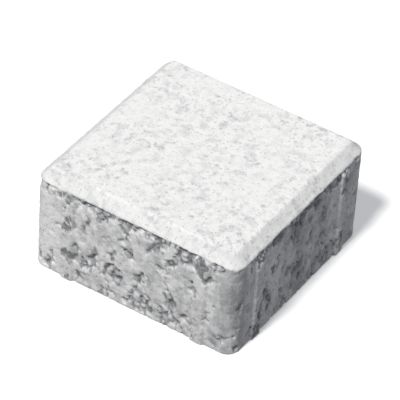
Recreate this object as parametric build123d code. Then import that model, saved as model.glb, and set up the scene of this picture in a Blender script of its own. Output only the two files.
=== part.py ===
from build123d import *
import os

# Pressed concrete paving tile, in millimetres. The origin is the centre of the underside, with +Z up.
# All four sides are alike. The side that faces -Y is called the front, and +X is the right.

layingModule = 100.0  # the square that one tile and its share of the joints take up when laid
jointWidth = 2.0  # width of the open joints that the nibs leave, half of it on each side of a tile
tileHeight = 50.0  # underside to worn face

chamferWidth = 5.0  # how far the chamfer reaches in from the sides, in plan
chamferDrop = 5.0  # how far it drops
faceCornerRadius = 1.0  # plan radius at the corners of the flat worn face
faceEdgeRadius = 1.2  # rounding where the chamfer meets the worn face
shoulderRadius = 0.8  # rounding where the chamfer meets the upright sides

nibSpacing = 64.0  # centre to centre of the two spacer nibs on each side
nibRootWidth = 7.0  # width of a nib where it leaves the side
nibTipWidth = 5.0  # width of its flat outer face
nibTopGap = 1.0  # from the top of a nib to the foot of the chamfer
nibLeadIn = 1.5  # height of the slope at its top, where it fades back into the side
nibEmbed = 1.0  # how deep its root is buried in the body

sideLength = layingModule - jointWidth
cornerRadius = faceCornerRadius + chamferWidth  # the chamfer keeps its width round the corners
shoulderHeight = tileHeight - chamferDrop
nibReach = jointWidth / 2
nibHeight = shoulderHeight - nibTopGap


def edgesAt(solid, height):
    """The edges of a solid that lie wholly at one height."""
    return solid.edges().filter_by_position(Axis.Z, height, height)


def makeBody():
    """A block with rounded upright corners. Its top is chamfered all round in one ring, and then the
    two arrises of the chamfer are eased, as the mould and the pressing plate leave them."""
    block = extrude(RectangleRounded(sideLength, sideLength, cornerRadius), amount=tileHeight)
    top = block.faces().sort_by(Axis.Z)[-1]
    body = chamfer(top.edges(), chamferWidth, chamferDrop, reference=top)
    body = fillet(edgesAt(body, tileHeight), faceEdgeRadius)
    return fillet(edgesAt(body, shoulderHeight), shoulderRadius)


def makeNib():
    """One spacer nib on the right side, at Y = 0. Seen from above it is a trapezoid that narrows
    outwards, and seen from the front a strip whose top slopes back to the side. The nib is what
    those two columns have in common."""
    wall = sideLength / 2
    root = wall - nibEmbed
    tip = wall + nibReach

    fromAbove = Polyline(
        (root, -nibRootWidth / 2),
        (wall, -nibRootWidth / 2),
        (tip, -nibTipWidth / 2),
        (tip, nibTipWidth / 2),
        (wall, nibRootWidth / 2),
        (root, nibRootWidth / 2),
        close=True,
    )
    fromFront = Polyline(
        (root, 0),
        (tip, 0),
        (tip, nibHeight - nibLeadIn),
        (wall, nibHeight),
        (root, nibHeight),
        close=True,
    )
    column = extrude(make_face(fromAbove), amount=nibHeight)
    strip = extrude(Plane.XZ * make_face(fromFront), amount=nibRootWidth, both=True)
    return column & strip


def makeTile():
    """The body with two nibs on each of its four sides, fused into the one piece that is cast."""
    nib = makeNib()
    sidePair = [Pos(0, side * nibSpacing / 2, 0) * nib for side in (-1, 1)]
    nibs = [Rot(0, 0, quarter * 90) * sideNib for quarter in range(4) for sideNib in sidePair]
    return makeBody() + nibs


os.makedirs("parts", exist_ok=True)
export_step(makeTile(), "parts/paving_tile.step")
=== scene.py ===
import math
import bpy
import numpy as np
from mathutils import Matrix, Vector


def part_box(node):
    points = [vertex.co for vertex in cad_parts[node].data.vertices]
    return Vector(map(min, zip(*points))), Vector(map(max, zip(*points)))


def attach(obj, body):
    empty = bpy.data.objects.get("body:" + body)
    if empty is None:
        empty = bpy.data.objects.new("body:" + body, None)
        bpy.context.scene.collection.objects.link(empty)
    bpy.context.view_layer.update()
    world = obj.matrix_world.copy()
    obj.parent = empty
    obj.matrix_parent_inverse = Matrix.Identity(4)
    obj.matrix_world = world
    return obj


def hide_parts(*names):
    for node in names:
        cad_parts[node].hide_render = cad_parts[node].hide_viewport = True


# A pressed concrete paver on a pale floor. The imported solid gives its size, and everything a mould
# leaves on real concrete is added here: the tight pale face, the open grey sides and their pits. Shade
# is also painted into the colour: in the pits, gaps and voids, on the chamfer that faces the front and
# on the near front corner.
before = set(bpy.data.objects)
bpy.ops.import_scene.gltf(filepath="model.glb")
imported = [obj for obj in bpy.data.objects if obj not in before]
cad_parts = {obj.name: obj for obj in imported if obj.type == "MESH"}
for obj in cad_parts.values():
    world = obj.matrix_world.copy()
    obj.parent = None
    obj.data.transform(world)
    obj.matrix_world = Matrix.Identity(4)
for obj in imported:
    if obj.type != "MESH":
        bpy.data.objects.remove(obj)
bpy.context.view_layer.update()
tileLow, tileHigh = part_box("paving_tile")
mm = 0.001

# the paver, in millimetres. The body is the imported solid's, and the relief is cut into it.
# Ripples are a size, a salt and how many layers, and a fourth number is how much of its strength each
# layer passes on, if not half. Patches have the two heights of their ripples between which they set in
# before those. Cells are a size and a salt, and a shake is a size, an amount and a salt. Pits, voids
# and chips are a salt, the size of their cells, the share that has one, and the radius from and to
paver = {
    "joint": 2.0,                      # width of the joints that the nibs leave when the paver is laid
    "chamferWidth": 5.0,
    "chamferDrop": 5.0,
    "faceCorner": 1.0,                 # plan radius at the corners of the worn face
    "faceEdgeRadius": 1.2,
    "shoulderRadius": 0.8,
    "footRadius": 0.5,
    "nibOffset": 32.0,                 # from the middle of a side to the middle of a nib
    "nibRoot": 7.0,
    "nibTip": 5.0,
    "nibTopGap": 1.0,
    "nibLeadIn": 1.5,
    "nibReach": 1.0,
    "columns": (42, 2, 8, 2, 11, 8),   # cells from the middle of a side to its corner, by stretch
    "rows": (3, 10, 3, 1, 3, 66, 3),   # cells from the worn face down to the underside, by stretch
    "normalPasses": 16,

    "faceSway": 0.16,                  # the worn face
    "swayRipples": (17.0, 101, 2),
    "faceSand": 0.2,
    "sandCells": (1.5, 131),
    "looseSand": (-0.2, 0.4, 5.0, 151, 3),
    "pitShake": (1.7, 0.4, 157),
    "facePits": ((161, 2.6, 0.12, 0.35, 0.8), (181, 6.5, 0.12, 0.6, 1.2)),
    "rimPits": (191, 1.9, 0.4, 0.3, 0.75),
    "rimBand": (0.6, 1.8),             # how far inside the edge of the worn face they lie, and the reach
    "pitCut": 0.7,
    "faceGrit": 0.07,
    "faceGritRipples": (1.1, 181, 2),
    "slopeCalm": 0.4,                  # how much shallower all this is on the chamfer

    "sideStretch": 1.5,                # the sides: pits and grains are this much taller than wide
    "sideQuiet": (20.0, 7.0),          # the skin closes from here to here on the way to a corner
    "openRipples": (7.0, 201, 4, 0.6),
    "sideClosed": 0.13,                # moves the open places' edge: more closes more of the side
    "openFade": (-0.08, 0.22),
    "openLow": (0.22, 7.0, 10.0),      # how much opens them, at what height, and the reach
    "openHigh": (0.34, 2.0, 6.0),      # the same, so far below the shoulder
    "cornerCloses": 0.3,
    "grainShake": (1.5, 0.8, 216),
    "sideCells": (3.0, 221),
    "sideRecess": 0.25,
    "sideDome": 0.4,
    "sideCrevice": 0.25,
    "sideSeam": 0.15,
    "seamWidth": 0.3,                  # from a seam's line to its edge, over the grains' size
    "sideGap": 0.8,
    "gapFade": (0.12, 0.5),
    "voidShake": (1.9, 0.9, 211),
    "sideVoids": ((231, 6.8, 0.4, 1.0, 2.3), (251, 3.7, 0.45, 0.6, 1.4), (271, 2.0, 0.5, 0.35, 0.8)),
    "voidCuts": (0.65, 0.8, 0.8),      # how much of its ball's height each of them cuts
    "fineDrag": (1.1, 8.0, 251),       # drag marks: their size across and up, and their salt
    "broadDrag": (3.0, 17.0, 261),
    "sideStreak": 0.16,
    "sideGrit": 0.18,
    "sideGritRipples": (1.3, 271, 2),
    "footCalm": (0.7, 2.0),            # how much shallower the foot is, and up to what height
    "sideDeepest": 1.9,

    "lineDepth": 1.3,                  # broken seam under the shoulder, where the pale face ends
    "lineDrop": 1.7,
    "lineSway": 1.1,
    "lineRipples": (3.6, 291, 3, 0.6),
    "lineRuns": (-0.3, 0.15, 7.0, 296, 2),
    "lineNicks": (-0.4, 0.25, 1.9, 299, 2),
    "lineWidth": (0.9, 2.3),
    "lineSwells": (-0.3, 0.4, 6.0, 281, 3),

    "bedCells": (3.4, 301),            # the underside
    "bedOpen": (-0.15, 0.5, 9.0, 311, 3),
    "bedShake": (2.2, 0.8, 316),
    "bedVoids": (321, 5.0, 0.4, 0.6, 1.9),
    "bedGrit": 0.12,
    "bedGritRipples": (1.2, 331, 2),

    "wearRipples": (3.2, 401, 3),      # the edges and the nibs
    "shoulderWear": (0.3, 0.9),        # how deep, and the reach
    "footWear": (0.2, 1.3),
    "chipShake": (2.0, 0.7, 406),
    "chips": (411, 6.0, 0.24, 0.7, 1.9),
    "chipCut": 0.8,
    "chipReach": 2.2,
    "chipBare": 0.85,                  # how much of the pale skin a chip takes away
    "burr": 0.2,
    "burrBand": (0.75, 0.45),          # how far in from the sides it runs, and the reach
    "burrPatches": (-0.2, 0.4, 5.0, 421, 2),
    "nibCalm": (0.35, 0.2),            # how much shallower a nib is, and a band along its flanks
    "nibWear": 0.35,
    "nibWorn": (-0.3, 0.4, 4.0, 521, 3),

    "skinDrop": 0.3,                   # where the pale skin of the face ends, below the shoulder
    "skinSway": 1.3,
    "skinRipples": (2.6, 501, 3),
    "bandTone": 0.8,                   # upright bands of paler and greyer paste
    "bands": (9.5, 47.5, 2746),
    "smudgeRipples": (6.0, 531, 3),
    # greyer and paler places on the sides: X, Y and Z, the reach across and up, and how much, paler
    # below 0. The first is painted shade on the near front corner, where the sides turn away from the
    # key; the second makes the front's left end paler, and the others make the right side paler and
    # greyer in places
    "smudges": ((47, -47, 22, 6.5, 60, 0.85), (-45, -49, 18, 8.5, 32, -1.25),
                (49, -17, 24, 8, 13, -1.2), (49, 12, 22, 22, 40, 0.4)),
}
paver["module"] = float(tileHigh[0] - tileLow[0]) / mm
paver["height"] = float(tileHigh[2] - tileLow[2]) / mm
paver["half"] = (paver["module"] - paver["joint"]) / 2
paver["corner"] = paver["faceCorner"] + paver["chamferWidth"]
paver["shoulder"] = paver["height"] - paver["chamferDrop"]
paver["nibTop"] = paver["shoulder"] - paver["nibTopGap"]


def spread(keys, counts):
    # cuts each stretch between two keys into its own number of equal cells
    parts = [np.linspace(a, b, n, endpoint=False) for a, b, n in zip(keys, keys[1:], counts)]
    return np.concatenate(parts + [np.array(keys[-1:], float)])


def smooth(start, end, x):
    # the smooth step: 0 up to start, 1 from end on, and 3t^2 - 2t^3 between. The start may be higher
    t = np.clip((x - start) / (end - start), 0, 1)
    return t * t * (3 - 2 * t)


def bell(distance, width):
    # a bell curve: e to the minus square of distance over width
    return np.exp(-((distance / width) ** 2))


def hashed(lattice, salt):
    # mixes three whole numbers and a pattern's own salt into one number from 0 to 1: each is
    # multiplied by a large odd number and crossed with the rest, and then the bits are folded
    # over and multiplied twice more. Only the lowest 32 bits are kept, and 24 of them in the end
    word, last = 0xFFFFFFFF, 0xFFFFFF
    n = salt * 2654435761 & word
    for i, factor in enumerate((73856093, 19349663, 83492791)):
        n = n ^ (lattice[..., i].astype(np.int64) & word) * factor
    n = n & word
    for shift, factor in ((15, 2246822519), (13, 3266489917)):
        n = (n ^ (n >> shift)) * factor & word
    return ((n ^ (n >> 16)) & last) / last


def ripple(points, salt):
    # gradient noise from about -1 to 1: a random slope at each lattice corner, blended by
    # 6t^5 - 15t^4 + 10t^3
    base = np.floor(points)
    offset = points - base
    fade = offset ** 3 * (offset * (offset * 6 - 15) + 10)
    total = np.zeros(len(points))
    for corner in np.ndindex(2, 2, 2):
        at = base + corner
        away = offset - corner
        slope = sum((hashed(at, salt + i) * 2 - 1) * away[:, i] for i in range(3))
        total += slope * np.prod(np.where(corner, fade, 1 - fade), axis=1)
    return total * 1.5


def drawnUp(points, across, up, salt):
    # a ripple with its own size across and up
    return ripple(points * np.array([1 / across, 1 / across, 1 / up]), salt)


def layered(points, size, salt, layers, gain=0.5):
    # a sum of ripples, each about twice as fine and gain times as strong as the one before, over
    # the root of their strengths added up. Twice is 2.03 here, so that their lattices don't line up
    total, strength, weight = 0, 1.0, 0.0
    for layer in range(layers):
        total = total + strength * ripple(points * (2.03 ** layer / size), salt + 11 * layer)
        weight += strength
        strength *= gain
    return total / weight ** 0.5


def waves(points, *ripples):
    # layered ripples, brought from -1 to 1 to the range from 0 to 1
    return 0.5 + 0.5 * layered(points, *ripples)


def patches(points, low, high, *ripples):
    # ragged patches: 0 where layered ripples are under low, and 1 where they are over high
    return smooth(low, high, layered(points, *ripples))


def shaken(points, size, amount, salt):
    # moves each point by three ripples, so that round shapes worked out from it come out ragged
    return points + amount * np.stack([ripple(points / size, salt + 7 * i) for i in range(3)], axis=1)


def pebbles(points, size, salt):
    # each lattice cell holds one point at random: the distances to the three nearest of them, with
    # two random numbers of the nearest one, its shade and its kind
    scaled = points / size
    base = np.floor(scaled)
    near = np.full((3, len(points)), 9.0)
    shade, kind = np.zeros(len(points)), np.zeros(len(points))
    for step in np.ndindex(3, 3, 3):
        at = base + np.array(step) - 1
        centre = at + np.stack([hashed(at, salt + i) for i in range(3)], axis=1)
        distance = np.linalg.norm(scaled - centre, axis=1)
        closer = distance < near[0]
        near[2] = np.minimum(near[2], np.maximum(near[1], distance))
        near[1] = np.minimum(near[1], np.maximum(near[0], distance))
        near[0] = np.minimum(near[0], distance)
        shade = np.where(closer, hashed(at, salt + 5), shade)
        kind = np.where(closer, hashed(at, salt + 7), kind)
    return near * size, shade, kind


def seams(near, size, width):
    # the lines between pebbles: 1 where the two nearest are as near, and 0 from the width on, which
    # is a share of their size
    return 1 - smooth(0, width, (near[1] - near[0]) / size)


def hollows(points, salt, size, share, smallest, largest):
    # round pits: a ball of random radius in a share of the cells. Inside one, a point is as deep as
    # the root of its radius squared less the distance from its middle squared
    near, shade, kind = pebbles(points, size, salt)
    radius = smallest + (largest - smallest) * shade ** 1.5
    return np.sqrt(np.clip(radius ** 2 - near[0] ** 2, 0, None)) * (kind < share)


def roundedSquare(u, v, half, radius):
    # a point (u, v) of the unit square's border is scaled to half, and past the start of a corner
    # it is drawn on to the arc, along the line from the arc's centre
    x, y = u * half, v * half
    inner = half - radius
    dx, dy = np.abs(x) - inner, np.abs(y) - inner
    length = np.maximum(np.hypot(dx, dy), 1e-9)
    bent = (dx > 0) & (dy > 0)
    x = np.where(bent, np.sign(x) * (inner + radius * dx / length), x)
    y = np.where(bent, np.sign(y) * (inner + radius * dy / length), y)
    return x, y


def columnPlaces():
    # places along one side, on the nib's own edges, from corner to corner, as shares of half a side
    p = paver
    root, tip = p["nibRoot"] / 2, p["nibTip"] / 2
    keys = [0, p["nibOffset"] - root, p["nibOffset"] - tip, p["nibOffset"] + tip,
            p["nibOffset"] + root, p["half"] - p["corner"], p["half"]]
    right = spread(keys, p["columns"]) / p["half"]
    return np.concatenate([-right[:0:-1], right])


def profileRows():
    # the section from the edge of the worn face to the edge of the underside, as how far in from
    # the side and how high: an arc, the slope, an arc, the upright side and a small arc. The upper
    # arcs turn by 45 degrees, so each starts its radius times tan 22.5 degrees before its corner
    p = paver
    faceCells, slopeCells, shoulderCells, underCells, leadCells, wallCells, footCells = p["rows"]
    eighth = math.tan(math.pi / 8)
    faceR, shoulderR, footR = p["faceEdgeRadius"], p["shoulderRadius"], p["footRadius"]
    turn = np.linspace(0, math.pi / 4, faceCells + 1)
    faceArc = np.stack([p["chamferWidth"] + faceR * (eighth - np.sin(turn)),
                        p["height"] - faceR * (1 - np.cos(turn))], axis=1)
    turn = np.linspace(math.pi / 4, math.pi / 2, shoulderCells + 1)
    wallTop = p["shoulder"] - shoulderR * eighth
    shoulderArc = np.stack([shoulderR * (1 - np.sin(turn)), wallTop + shoulderR * np.cos(turn)], axis=1)
    slope = np.linspace(faceArc[-1], shoulderArc[0], slopeCells + 1)[1:-1]
    levels = spread([wallTop, p["nibTop"], p["nibTop"] - p["nibLeadIn"], footR],
                    [underCells, leadCells, wallCells])[1:-1]
    wall = np.stack([np.zeros(len(levels)), levels], axis=1)
    turn = np.linspace(0, math.pi / 2, footCells + 1)
    footArc = np.stack([footR * (1 - np.cos(turn)), footR * (1 - np.sin(turn))], axis=1)
    return np.concatenate([faceArc, slope, shoulderArc, wall, footArc])


def nibStand(along, height):
    # how far a nib stands out: the lower of its trapezoid seen from above and its sloped top
    p = paver
    flank = (p["nibRoot"] - p["nibTip"]) / 2
    across = (p["nibRoot"] / 2 - np.abs(np.abs(along) - p["nibOffset"])) / flank
    up = (p["nibTop"] - height) / p["nibLeadIn"]
    return p["nibReach"] * np.clip(np.minimum(across, up), 0, 1)


def blockSurface():
    # the whole skin in one closed mesh: a square grid for the worn face, a band of profile rows
    # carried round the four sides, and a square grid for the underside
    places = columnPlaces()
    n = len(places) - 1
    rows = profileRows()
    k = np.arange(4 * n)
    side, step = k // n, k % n
    ringCol = np.choose(side, [step, n, n - step, 0])
    ringRow = np.choose(side, [0, step, n, n - step])
    u, v = places[ringCol], places[ringRow]
    outX, outY = np.choose(side, [0, 1, 0, -1]), np.choose(side, [-1, 0, 1, 0])
    along = np.where(outX == 0, u, v) * paver["half"]

    def ring(inset, height):
        # one profile row: the rounded square of the sides, less the inset, with the nibs on it
        x, y = roundedSquare(u, v, paver["half"] - inset, paver["corner"] - inset)
        stand = nibStand(along, height) if height < paver["shoulder"] else 0
        return np.stack([x + outX * stand, y + outY * stand, np.full(len(k), height)], axis=1)

    def sheet(inset, height):
        # a square grid as nested rounded squares, each scaled by its reach from the middle. Their
        # corners' radius goes with the reach to the fourth, so the inner ones are nearly plain squares
        gridU, gridV = np.meshgrid(places, places)
        reach = np.maximum(np.abs(gridU), np.abs(gridV))
        safe = np.maximum(reach, 1e-9)
        half, radius = (paver["half"] - inset) * reach, (paver["corner"] - inset) * reach ** 4
        x, y = roundedSquare(gridU / safe, gridV / safe, half, radius)
        return np.stack([x, y, np.full(x.shape, height)], axis=2)

    bands = [ring(inset, height) for inset, height in rows]
    top, bed = sheet(rows[0][0], paver["height"]), sheet(rows[-1][0], 0.0)
    top[ringRow, ringCol] = bands[0]
    bed[ringRow, ringCol] = bands[-1]
    size = (n + 1) ** 2
    topIds = np.arange(size).reshape(n + 1, n + 1)
    middle = np.concatenate(bands[1:-1])
    bandIds = (2 * size + np.arange(len(middle))).reshape(-1, 4 * n)
    rim = topIds[ringRow, ringCol][None]
    bandIds = np.concatenate([rim, bandIds, rim + size])
    points = np.concatenate([top.reshape(-1, 3), bed.reshape(-1, 3), middle])

    corners = [topIds[:-1, :-1], topIds[:-1, 1:], topIds[1:, 1:], topIds[1:, :-1]]
    topFaces = np.stack(corners, axis=2).reshape(-1, 4)
    upper, lower = bandIds[:-1], bandIds[1:]
    corners = [upper, lower, np.roll(lower, -1, axis=1), np.roll(upper, -1, axis=1)]
    bandFaces = np.stack(corners, axis=2).reshape(-1, 4)
    return points, np.concatenate([topFaces, topFaces[:, ::-1] + size, bandFaces])


def atPoints(faces, values, count):
    # adds up at each point the values of the faces round it
    sums = [np.bincount(faces.ravel(), np.repeat(values[:, i], 4), count) for i in range(3)]
    return np.stack(sums, axis=1)


def cuttingDirections(points, faces):
    # the normals, averaged over and over with their neighbours, so that the directions turn slowly
    # round an arris and deep cuts on its two sides don't cross
    a, b, c, d = (points[faces[:, i]] for i in range(4))
    normals = np.cross(c - a, d - b)
    normals /= np.linalg.norm(normals, axis=1, keepdims=True)
    for turn in range(paver["normalPasses"]):
        directions = atPoints(faces, normals, len(points))
        directions /= np.linalg.norm(directions, axis=1, keepdims=True)
        normals = directions[faces].mean(axis=1)
    return directions


def insetOf(points):
    # how far in from the upright sides a point lies, round the corners too
    inner = paver["half"] - paver["corner"]
    dx, dy = np.abs(points[:, 0]) - inner, np.abs(points[:, 1]) - inner
    outside = np.hypot(np.maximum(dx, 0), np.maximum(dy, 0)) + np.minimum(np.maximum(dx, dy), 0)
    return paver["corner"] - outside


# Each relief below gives the depth in millimetres and three measures from 0 to 1 that the material
# reads: how much of a pore a point is in, which it darkens as painted shade, how open its place is, and
# the shade of its grain.
def faceRelief(points, inset):
    # the worn face: a slow sway, sand grains with seams between them, and a few pits, with more of
    # them along its rim
    p = paver
    sway = p["faceSway"] * waves(points, *p["swayRipples"])
    near, shade = pebbles(points, *p["sandCells"])[:2]
    seam = seams(near, p["sandCells"][0], 0.5)
    loose = patches(points, *p["looseSand"])
    sand = p["faceSand"] * (0.25 + 0.75 * loose) * (0.6 * seam + 0.4 * shade)
    ragged = shaken(points, *p["pitShake"])
    rimAt, rimReach = p["rimBand"]
    pits = [hollows(ragged, *balls) for balls in p["facePits"]]
    pits.append(hollows(ragged, *p["rimPits"]) * bell(inset - p["chamferWidth"] - rimAt, rimReach))
    pore = np.maximum.reduce(pits)
    grit = p["faceGrit"] * waves(points, *p["faceGritRipples"])
    return sway + sand + p["pitCut"] * pore + grit, smooth(0, 0.7, pore), loose, shade


def openSkin(points, tall):
    # where the skin of paste is missing: ragged patches, with more of them low down and under the
    # shoulder and few near an upright corner. The second result is 1 there and 0 away from it
    p, z = paver, points[:, 2]
    aside = p["half"] - np.minimum(np.abs(points[:, 0]), np.abs(points[:, 1]))
    corner = smooth(*p["sideQuiet"], aside)
    (low, lowAt, lowReach), (high, highDrop, highReach) = p["openLow"], p["openHigh"]
    more = low * bell(z - lowAt, lowReach) + high * bell(z - p["shoulder"] + highDrop, highReach)
    more = more - p["cornerCloses"] * corner
    return smooth(*p["openFade"], layered(tall, *p["openRipples"]) + more - p["sideClosed"]), corner


def shoulderSeam(points, corner):
    # the broken seam where the pale face ends: a bell across a line that sways, with a width that
    # swells and shrinks along it
    p = paver
    lineAt = p["shoulder"] - p["lineDrop"] + p["lineSway"] * layered(points, *p["lineRipples"])
    broken = patches(points, *p["lineRuns"]) * patches(points, *p["lineNicks"])
    thin, thick = p["lineWidth"]
    width = thin + (thick - thin) * patches(points, *p["lineSwells"])
    return bell(points[:, 2] - lineAt, width) * broken * (1 - 0.75 * corner)


def sideRelief(points):
    # the upright sides: a tight skin of paste, and ragged places where it is missing. There domed
    # grains stand in the open, each at its own depth, with seams between two of them and gaps where
    # three meet. Round voids, the seam under the shoulder, upright drag marks and grit come on top
    p, z = paver, points[:, 2]
    tall = points * np.array([1, 1, 1 / p["sideStretch"]])
    opened, corner = openSkin(points, tall)

    near, shade = pebbles(shaken(tall, *p["grainShake"]), *p["sideCells"])[:2]
    size = p["sideCells"][0]
    pair, three = (near[1] - near[0]) / size, (near[2] - near[0]) / size
    seam = seams(near, size, p["seamWidth"])
    gap = 1 - smooth(*p["gapFade"], 0.9 * pair + 0.6 * three)
    domed = np.minimum(near[0] / size, 1) ** 2
    grains = p["sideRecess"] * (0.4 + 0.6 * shade) + p["sideDome"] * domed + p["sideCrevice"] * seam
    depth = p["sideSeam"] * seam + opened * grains + p["sideGap"] * gap * opened
    # the seams and gaps count as pore, which the material darkens as painted shade
    pore = opened * (p["sideSeam"] * seam + 0.75 * gap)

    ragged = shaken(tall, *p["voidShake"])
    for balls, cut in zip(p["sideVoids"], p["voidCuts"]):
        ball = hollows(ragged, *balls) * (0.4 + 0.6 * opened) * (1 - 0.5 * corner)
        depth = np.maximum(depth, cut * ball + 0.45 * grains * smooth(0.0, 0.8, ball))
        pore = np.maximum(pore, smooth(0.0, 1.2, ball))

    line = shoulderSeam(points, corner)
    # the seam's groove counts as pore too, so it is darkened as painted shade
    depth, pore = depth + p["lineDepth"] * line, np.maximum(pore, smooth(0.05, 0.7, line))
    drag = 0.6 * drawnUp(points, *p["fineDrag"]) + drawnUp(points, *p["broadDrag"])
    grit = p["sideGrit"] * waves(points, *p["sideGritRipples"])
    calm, calmTo = p["footCalm"]
    depth = (depth + p["sideStreak"] * (0.5 + 0.5 * drag) + grit) * (1 - calm * bell(z, calmTo))
    return np.minimum(depth, p["sideDeepest"]), pore, opened, shade


def bedRelief(points):
    # the underside lay on a board: grains pressed level, with seams and voids between them
    p = paver
    near, shade = pebbles(points, *p["bedCells"])[:2]
    seam = seams(near, p["bedCells"][0], 0.4)
    opened = patches(points, *p["bedOpen"])
    voids = hollows(shaken(points, *p["bedShake"]), *p["bedVoids"])
    grit = p["bedGrit"] * waves(points, *p["bedGritRipples"])
    # seams and voids count as pore, which the material darkens as painted shade
    pore = np.maximum(0.5 * opened * seam, smooth(0.15, 1.1, voids))
    return opened * (0.5 * seam + 0.25 * shade) + p["pitCut"] * voids + grit, pore, opened, shade


def edgeRelief(points, inset):
    # extra wear at the shoulder and the foot, a few chips, and a burr just above the shoulder, which
    # stands up and so is less than nothing deep. The second result is 1 inside a chip
    p, z = paver, points[:, 2]
    fromShoulder, fromFoot = np.hypot(inset, z - p["shoulder"]), np.hypot(inset, z)
    rough = waves(points, *p["wearRipples"])
    (shoulder, shoulderReach), (foot, footReach) = p["shoulderWear"], p["footWear"]
    wear = shoulder * bell(fromShoulder, shoulderReach) * rough ** 2
    wear = wear + foot * bell(fromFoot, footReach) * rough
    chips = hollows(shaken(points, *p["chipShake"]), *p["chips"]) * bell(fromShoulder, p["chipReach"])
    burrAt, burrReach = p["burrBand"]
    rise = smooth(p["shoulder"] - 0.1, p["shoulder"] + 0.4, z) * patches(points, *p["burrPatches"])
    burr = p["burr"] * bell(inset - burrAt, burrReach) * rise
    return wear + p["chipCut"] * chips - burr, smooth(0.1, 0.8, chips)


def paverRelief(points, directions):
    # how deep each point is cut: the relief of the surface that it is on, calmed on the nibs and
    # worn along their flanks, and what the edges lose. With it go the measures for the material
    p, z, inset = paver, points[:, 2], insetOf(points)
    onFace = smooth(p["shoulder"] - 0.3, p["shoulder"] + 0.3, z)
    offFace = 1 - onFace
    onBed = smooth(0.8, 2.4, inset) * (z < 1)
    onSlope = onFace * smooth(p["chamferWidth"] + 0.4, p["chamferWidth"] - 1.0, inset)
    kinds = [faceRelief(points, inset), bedRelief(points), sideRelief(points)]
    shares = [onFace * (1 - p["slopeCalm"] * onSlope), onBed, offFace * (1 - onBed)]
    depth, pore, opened, shade = (sum(s * k[i] for s, k in zip(shares, kinds)) for i in range(4))

    along = np.minimum(np.abs(points[:, 0]), np.abs(points[:, 1]))
    fromNib = np.abs(along - p["nibOffset"]) - (p["nibRoot"] + p["nibTip"]) / 4
    onNib = smooth(0.6, -0.6, fromNib) * offFace
    edgeCut, chipped = edgeRelief(points, inset)
    calm, flankCalm = p["nibCalm"]
    depth = depth * (1 - calm * onNib - flankCalm * bell(fromNib, 1.0) * offFace) + edgeCut
    worn = patches(points, *p["nibWorn"]) * bell(fromNib + 0.7, 0.7)
    depth = depth + p["nibWear"] * worn * offFace

    skinEnd = p["shoulder"] - p["skinDrop"] + p["skinSway"] * layered(points, *p["skinRipples"])
    skin = smooth(skinEnd - 0.5, skinEnd + 0.5, z) * (1 - p["chipBare"] * chipped * offFace)
    # painted shade: the part of the chamfer that faces the front, and so the key, is marked here and
    # greyed in the face's colour
    slope = onSlope * smooth(0.0, -0.5, directions[:, 1])   # the chamfer, where it faces the front
    return depth, {"pore": pore, "opened": opened, "grainShade": shade, "skin": skin, "slope": slope}


def smudgedAndShaded(points):
    # how much greyer the sides are, or paler below 0: upright bands that the mould drags down, and a
    # bell of its own reach across and up for each place in the table, broken by slow ripples. The bell
    # on the near front corner is painted shade
    p = paver
    tone = p["bandTone"] * drawnUp(points, *p["bands"])
    broken = np.clip(0.85 + 0.5 * layered(points, *p["smudgeRipples"]), 0, 1)
    for x, y, z, across, up, amount in p["smudges"]:
        away = np.hypot(np.hypot(points[:, 0] - x, points[:, 1] - y) / across, (points[:, 2] - z) / up)
        tone = tone + amount * bell(away, 1) * broken
    return tone


def quadMesh(name, points, faces, measures):
    # a smooth mesh of four-sided faces, brought to metres, with one attribute for each measure
    mesh = bpy.data.meshes.new(name)
    mesh.vertices.add(len(points))
    mesh.vertices.foreach_set("co", (points * mm).ravel())
    mesh.loops.add(faces.size)
    mesh.loops.foreach_set("vertex_index", faces.ravel())
    mesh.polygons.add(len(faces))
    mesh.polygons.foreach_set("loop_start", np.arange(0, faces.size, 4))
    mesh.polygons.foreach_set("use_smooth", np.ones(len(faces), bool))
    mesh.update(calc_edges=True)
    mesh.validate()
    for measure, values in measures.items():
        layer = mesh.attributes.new(measure, "FLOAT", "POINT")
        layer.data.foreach_set("value", values.astype(np.float32))
    return mesh


def buildPaver():
    print("paver: surface")
    points, faces = blockSurface()
    directions = cuttingDirections(points, faces)

    print("paver: relief")
    depth, measures = paverRelief(points, directions)
    points = points - directions * depth[:, None]
    points[:, 2] = np.maximum(points[:, 2], 0)
    measures["tone"] = smudgedAndShaded(points)
    piece = bpy.data.objects.new("paver", quadMesh("paver", points, faces, measures))
    bpy.context.scene.collection.objects.link(piece)
    print("paver:", len(points), "points,", 2 * len(faces), "triangles")
    return piece


# Shader maths in plain expressions. A Signal is one socket, and adding, subtracting or multiplying
# makes the Math node for it.
class Signal:
    def __init__(self, paint, socket):
        self.paint, self.socket = paint, socket

    def maths(self, operation, *others):
        sockets = dict(enumerate((self, *others)))
        return self.paint.node("ShaderNodeMath", {"operation": operation}, sockets)["Value"]

    def __add__(self, other):
        return self.maths("ADD", other)

    def __sub__(self, other):
        return self.maths("SUBTRACT", other)

    def __rsub__(self, other):
        return (self * -1) + other

    def __mul__(self, other):
        return self.maths("MULTIPLY", other)

    __radd__ = __add__
    __rmul__ = __mul__


# A node that was just made, whose outputs are read as Signals by name or number.
class Made:
    def __init__(self, paint, node):
        self.paint, self.node = paint, node

    def __getitem__(self, name):
        return Signal(self.paint, self.node.outputs[name])


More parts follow.
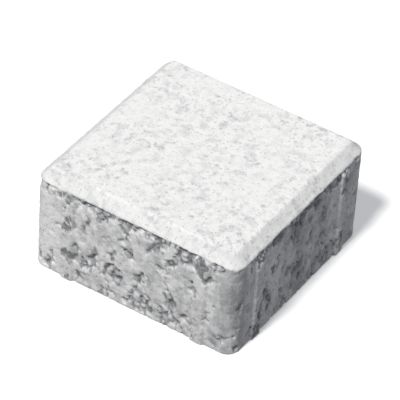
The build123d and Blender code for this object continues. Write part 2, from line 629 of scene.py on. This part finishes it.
# The nodes of one material or of the world. Sizes are in millimetres.
class Paint:
    def __init__(self, owner):
        owner.use_nodes = True
        self.tree = owner.node_tree
        self.tree.nodes.clear()

    def node(self, kind, settings=None, sockets=None):
        # one node: its type, its settings, which go first, and a value or a link for its sockets
        made = self.tree.nodes.new(kind)
        for key, value in (settings or {}).items():
            setattr(made, key, value)
        for key, value in (sockets or {}).items():
            if isinstance(value, Signal):
                self.tree.links.new(value.socket, made.inputs[key])
            else:
                made.inputs[key].default_value = value
        return Made(self, made)

    def attribute(self, name):
        return self.node("ShaderNodeAttribute", {"attribute_name": name})["Fac"]

    def mixed(self, share, a, b):
        # the colour a where the share is 0, and b where it is 1. The Mix node's sockets 6 and 7 take
        # the colours, and its result 2 is the colour
        a, b = (value if isinstance(value, Signal) else (*value, 1) for value in (a, b))
        settings = {"data_type": "RGBA", "clamp_factor": True}
        return self.node("ShaderNodeMix", settings, {"Factor": share, 6: a, 7: b})[2]

    def overlaid(self, colour, *layers):
        # lays more colours over a first one in turn, each with the share of it that covers
        for share, over in layers:
            colour = self.mixed(share, colour, over)
        return colour

    def ramp(self, share, start, end):
        sockets = {"Value": share, "From Min": start, "From Max": end}
        return self.node("ShaderNodeMapRange", {"interpolation_type": "SMOOTHSTEP"}, sockets)["Result"]

    def noise(self, where, size, detail, roughness):
        sockets = {"Vector": where, "Scale": 1 / (size * mm), "Detail": detail, "Roughness": roughness}
        return self.node("ShaderNodeTexNoise", {}, sockets)["Fac"]

    def patches(self, where, start, end, *noise):
        # patches of noise that fade in between two of its heights
        return self.ramp(self.noise(where, *noise), start, end)

    def shaken(self, where, size, amount):
        # where, moved by a coloured noise of that size, up to half the amount
        sockets = {"Vector": where, "Scale": 1 / (size * mm), "Detail": 1.0}
        noise = self.node("ShaderNodeTexNoise", {}, sockets)["Color"]
        sockets = {0: noise, 1: (amount * mm,) * 3, 2: where}
        return self.node("ShaderNodeVectorMath", {"operation": "MULTIPLY_ADD"}, sockets)["Vector"]

    def grains(self, where, size, share):
        # soft round grains of uneven size and strength, in a share of the cells of that size
        sockets = {"Vector": where, "Scale": 1 / (size * mm), "Randomness": 1.0}
        cells = self.node("ShaderNodeTexVoronoi", {"feature": "F1"}, sockets)
        random = self.node("ShaderNodeSeparateColor", {}, {"Color": cells["Color"]})
        chosen = self.ramp(random["Red"], 1 - share * 1.3, 1 - share * 0.5)
        return chosen * (1 - self.ramp(cells["Distance"] + random["Green"] * 0.35, 0.35, 0.7))


# colours as they look in plain light, linear, and sizes in millimetres. Noise is a size, its detail
# and its roughness, and patches have the two heights between which they fade in before those
concrete = {
    "face": (0.9, 0.897, 0.875),
    # the mottle grey is also painted shade on the chamfer that faces the front, and the speck grey below
    # is painted shade in the face's pits
    "faceMottle": (0.68, 0.685, 0.68),
    "faceSpeck": (0.38, 0.395, 0.41),
    "paste": (0.7, 0.7, 0.69),
    "paleSmear": (0.93, 0.93, 0.915),
    # the dark grain grey is also painted shade in the voids and gaps and on the near front corner
    "darkGrain": (0.31, 0.32, 0.335),
    "midGrain": (0.56, 0.565, 0.575),
    "lightGrain": (0.80, 0.795, 0.775),
    # painted shade deep in pores and voids
    "inPore": (0.16, 0.165, 0.175),
    "shake": (1.3, 1.6),               # grains are moved by a noise of this size and amount
    "coarse": (3.0, 0.22),             # round grains: the cell, and the share that has one
    "sand": (1.6, 0.16),
    "dust": (0.8, 0.12),
    "fine": (0.8, 2.0, 0.6),
    "grit": (1.0, 3.0, 0.7),
    "mottle": (0.44, 0.64, 4.2, 3.0, 0.65),
    "patch": (0.35, 0.62, 16.0, 2.0, 0.5),
    "specks": (0.60, 0.70, 2.2, 1.0, 0.5),
    "smear": (0.44, 0.62, 3.4, 2.0, 0.6),
    "smearStretch": (1, 1, 0.22),      # smears are drawn out upwards
    "pale": (0.46, 0.6, 7.0, 3.0, 0.55),
    "stain": (0.48, 0.62, 4.2, 3.0, 0.6),
    "richFrom": (0.008, 0.032),        # heights in metres between which the paste turns paler
    "bump": (0.5, 3.0, 0.65),
    "bumpHeight": 0.26,
    "bumpStrength": 0.9,
    "roughness": 0.97,
    "specular": 0.3,
}


def concreteSignals(paint):
    # the measures that the mesh carries, and the patterns that the face and the sides share
    c = concrete
    measures = ("pore", "opened", "grainShade", "skin", "slope", "tone")
    signals = {name: paint.attribute(name) for name in measures}
    where = paint.node("ShaderNodeTexCoord")["Object"]
    loose = paint.shaken(where, *c["shake"])
    signals["where"], signals["loose"] = where, loose
    signals["sand"], signals["dust"] = paint.grains(loose, *c["sand"]), paint.grains(where, *c["dust"])
    signals["fine"], signals["grit"] = paint.noise(where, *c["fine"]), paint.noise(where, *c["grit"])
    return signals


def faceColour(paint, signals):
    # the pale face: soft grey mottling, sand grains of slightly different greys, scattered specks and
    # darker pits. Wide patches have more of each than the rest. The pits' darkness is painted shade, and
    # so is the grey laid on the chamfer where it faces the front
    c, where, grit = concrete, signals["where"], signals["grit"]
    mottle, patch = paint.patches(where, *c["mottle"]), paint.patches(where, *c["patch"])
    specks = paint.patches(where, *c["specks"])
    coarse = paint.grains(signals["loose"], *c["coarse"])
    return paint.overlaid(
        c["face"],
        (mottle * (0.3 + patch * 0.5), c["faceMottle"]),
        # painted shade on the chamfer where it faces the front
        (signals["slope"] * (0.37 + mottle * 0.45), c["faceMottle"]),
        (paint.ramp(grit, 0.48, 0.7) * 0.35, c["faceMottle"]),
        (coarse * (0.1 + patch * 0.25) * (0.4 + grit), c["faceSpeck"]),
        (signals["sand"] * (0.15 + patch * 0.3) * (0.4 + grit), c["faceSpeck"]),
        (signals["dust"] * 0.5, c["faceSpeck"]),
        (specks * (0.1 + patch * 0.35), c["faceSpeck"]),
        # painted shade in the pits
        (signals["pore"] * 0.65, c["faceSpeck"]),
    )


def sideColour(paint, signals):
    # the sides: pale paste where the mould closed it, with stains, smears and the mesh's own tone, which
    # holds painted shade on the near front corner, and loose grains of their own greys where it is open,
    # with dark gaps between them. The gaps, voids and pores are darkened as painted shade, and the paste
    # is darker towards the bottom
    c, where, fine = concrete, signals["where"], signals["fine"]
    pore, shade, tone = signals["pore"], signals["grainShade"], signals["tone"]
    sockets = {"Vector": where, "Scale": c["smearStretch"]}
    upright = paint.node("ShaderNodeMapping", {"vector_type": "POINT"}, sockets)["Vector"]
    height = paint.node("ShaderNodeSeparateXYZ", {}, {"Vector": where})["Z"]
    # the paste is paler higher up on the sides, so darker towards the bottom
    palerUp = paint.ramp(height, *c["richFrom"])
    smear = paint.patches(upright, *c["smear"])
    pale, stain = paint.patches(where, *c["pale"]), paint.patches(where, *c["stain"])
    paste = paint.overlaid(
        c["paste"],
        (pale * 0.7 + smear * 0.3 + palerUp * 0.25, c["paleSmear"]),
        (stain * (1 - pale * 0.6) * 0.7, c["midGrain"]),
        # the tone's greyer places, with painted shade on the near front corner
        (tone * (0.75 - smear * 0.25), c["darkGrain"]),
        (tone * -0.9, c["paleSmear"]),
        (signals["sand"] * 0.5, c["darkGrain"]),
    )
    stone = paint.overlaid(
        c["darkGrain"],
        (paint.ramp(shade, 0.2, 0.4), c["midGrain"]),
        (paint.ramp(shade, 0.55, 0.8), c["lightGrain"]),
    )
    # in voids and gaps: dark grains, painted shade deeper in, and some mid grey grains
    holeGrainsAndShade = paint.overlaid(
        c["darkGrain"],
        (paint.ramp(pore, 0.3, 1.0), c["inPore"]),
        (paint.ramp(shade, 0.45, 0.8) * 0.45, c["midGrain"]),
    )
    return paint.overlaid(
        paste,
        (paint.ramp(signals["opened"] + (fine - 0.5) * 0.9, 0.3, 0.7) * 0.7, stone),
        (paint.ramp(fine, 0.5, 0.7) * 0.3, c["darkGrain"]),
        (signals["dust"] * 0.4, c["darkGrain"]),
        (paint.ramp(pore + (fine - 0.5) * 0.6, 0.2, 0.6) * 0.8, holeGrainsAndShade),
    )


def paintConcrete():
    print("paver: concrete")
    c = concrete
    material = bpy.data.materials.new("pressedConcrete")
    paint = Paint(material)
    signals = concreteSignals(paint)
    skin = signals["skin"]
    colour = paint.mixed(skin, sideColour(paint, signals), faceColour(paint, signals))
    sandy = paint.noise(signals["where"], *c["bump"]) * 0.6 + signals["grit"] * 0.8
    sandy = sandy - signals["sand"] * 0.4 - signals["dust"] * 0.5
    sockets = {
        "Strength": c["bumpStrength"],
        "Distance": c["bumpHeight"] * mm,
        "Height": sandy * (1 - skin * 0.4),
    }
    bump = paint.node("ShaderNodeBump", {}, sockets)
    sockets = {
        "Base Color": colour,
        "Roughness": c["roughness"] - skin * 0.08,
        "Specular IOR Level": c["specular"],
        "Normal": bump["Normal"],
    }
    surface = paint.node("ShaderNodeBsdfPrincipled", {}, sockets)["BSDF"]
    paint.node("ShaderNodeOutputMaterial", {}, {"Surface": surface})
    return material


# where the picture is taken from, aimed at the paver's own middle, in metres, degrees and pixels,
# with the sensor in millimetres
shot = {
    "azimuth": 30.75,
    "elevation": 40.37,
    "distance": 1.277,
    "roll": 4.13,
    "focal": 3112.0,
    "picture": 400,
    "sensor": 36.0,
}


def placeCamera():
    # the camera looks along -back, and the roll turns its right and up round that line
    middle = (Vector(tileLow) + Vector(tileHigh)) / 2
    turn, lift, roll = (math.radians(shot[name]) for name in ("azimuth", "elevation", "roll"))
    back = Vector((math.sin(turn) * math.cos(lift), -math.cos(turn) * math.cos(lift), math.sin(lift)))
    level = Vector((0, 0, 1)).cross(back).normalized()
    plumb = back.cross(level)
    right = level * math.cos(roll) + plumb * math.sin(roll)
    up = plumb * math.cos(roll) - level * math.sin(roll)
    eye = middle + back * shot["distance"]
    data = bpy.data.cameras.new("camera")
    data.sensor_width = shot["sensor"]
    data.lens = shot["focal"] / shot["picture"] * shot["sensor"]
    data.clip_end = 50
    camera = bpy.data.objects.new("camera", data)
    columns = [(*axis, 0) for axis in (right, up, back)] + [(*eye, 1)]
    camera.matrix_world = Matrix(columns).transposed()
    bpy.context.scene.collection.objects.link(camera)
    bpy.context.scene.camera = camera


# a soft key from the front and above, an even sky, and a floor that is grey to the light
studio = {
    "keyFrom": (-0.04, -0.46, 0.78),
    "keyOnFace": 0.78,        # how brightly the key lights the worn face, where 1 shows white as white
    "keySpread": 9.0,
    "keyColour": (1.0, 0.99, 0.97),
    "sky": 0.26,
    "skyColour": (0.93, 0.97, 1.08),
    "floorHalf": 6.0,
    "floorGrey": 0.24,
    "floorSeen": 0.85,
    "floorLift": 0.3,         # lightens the shadow that the camera sees on the floor
}


def seenDirectly(paint):
    # 1 for rays from the camera, off metal and through glass, and 0 for those that carry light
    path = paint.node("ShaderNodeLightPath")
    seen = path["Is Camera Ray"].maths("MAXIMUM", path["Is Glossy Ray"])
    return seen.maths("MAXIMUM", path["Is Transmission Ray"])


def placeLights():
    # a sun of strength pi lights a face that it meets squarely at 1, and a level one at that times
    # the height of its direction
    print("lights")
    key = bpy.data.lights.new("key", "SUN")
    towards = Vector(studio["keyFrom"]).normalized()
    key.energy = studio["keyOnFace"] * math.pi / towards.z
    key.angle = math.radians(studio["keySpread"])
    key.color = studio["keyColour"]
    lamp = bpy.data.objects.new("key", key)
    lamp.rotation_mode = "QUATERNION"
    lamp.rotation_quaternion = towards.to_track_quat("Z", "Y")
    bpy.context.scene.collection.objects.link(lamp)

    world = bpy.data.worlds.new("sky")
    bpy.context.scene.world = world
    paint = Paint(world)
    plain = tuple(studio["sky"] * value for value in studio["skyColour"])
    shown = paint.mixed(seenDirectly(paint), plain, (1, 1, 1))
    sky = paint.node("ShaderNodeBackground", {}, {"Color": shown})["Background"]
    paint.node("ShaderNodeOutputWorld", {}, {"Surface": sky})


def placeFloor():
    # one wide square. To the camera it is white with the object's soft shadow on it, and to the
    # light a mid grey, so that it doesn't brighten the sides
    print("floor")
    corners = np.array([(-1, -1, 0), (1, -1, 0), (1, 1, 0), (-1, 1, 0)]) * studio["floorHalf"]
    mesh = bpy.data.meshes.new("floor")
    mesh.from_pydata(corners.tolist(), [], [(0, 1, 2, 3)])
    floor = bpy.data.objects.new("floor", mesh)
    bpy.context.scene.collection.objects.link(floor)
    material = bpy.data.materials.new("paleFloor")
    paint = Paint(material)
    seen = seenDirectly(paint)
    colour = paint.mixed(seen, (studio["floorGrey"],) * 3, (studio["floorSeen"],) * 3)
    matt = paint.node("ShaderNodeBsdfDiffuse", {}, {"Color": colour})["BSDF"]
    glow = paint.node("ShaderNodeEmission", {}, {"Strength": seen * studio["floorLift"]})["Emission"]
    both = paint.node("ShaderNodeAddShader", {}, {0: matt, 1: glow})["Shader"]
    paint.node("ShaderNodeOutputMaterial", {}, {"Surface": both})
    mesh.materials.append(material)


placeCamera()
placeLights()
placeFloor()
bpy.context.scene.view_settings.view_transform = "Standard"

piece = buildPaver()
piece.data.materials.append(paintConcrete())
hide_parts("paving_tile")
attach(piece, "root")
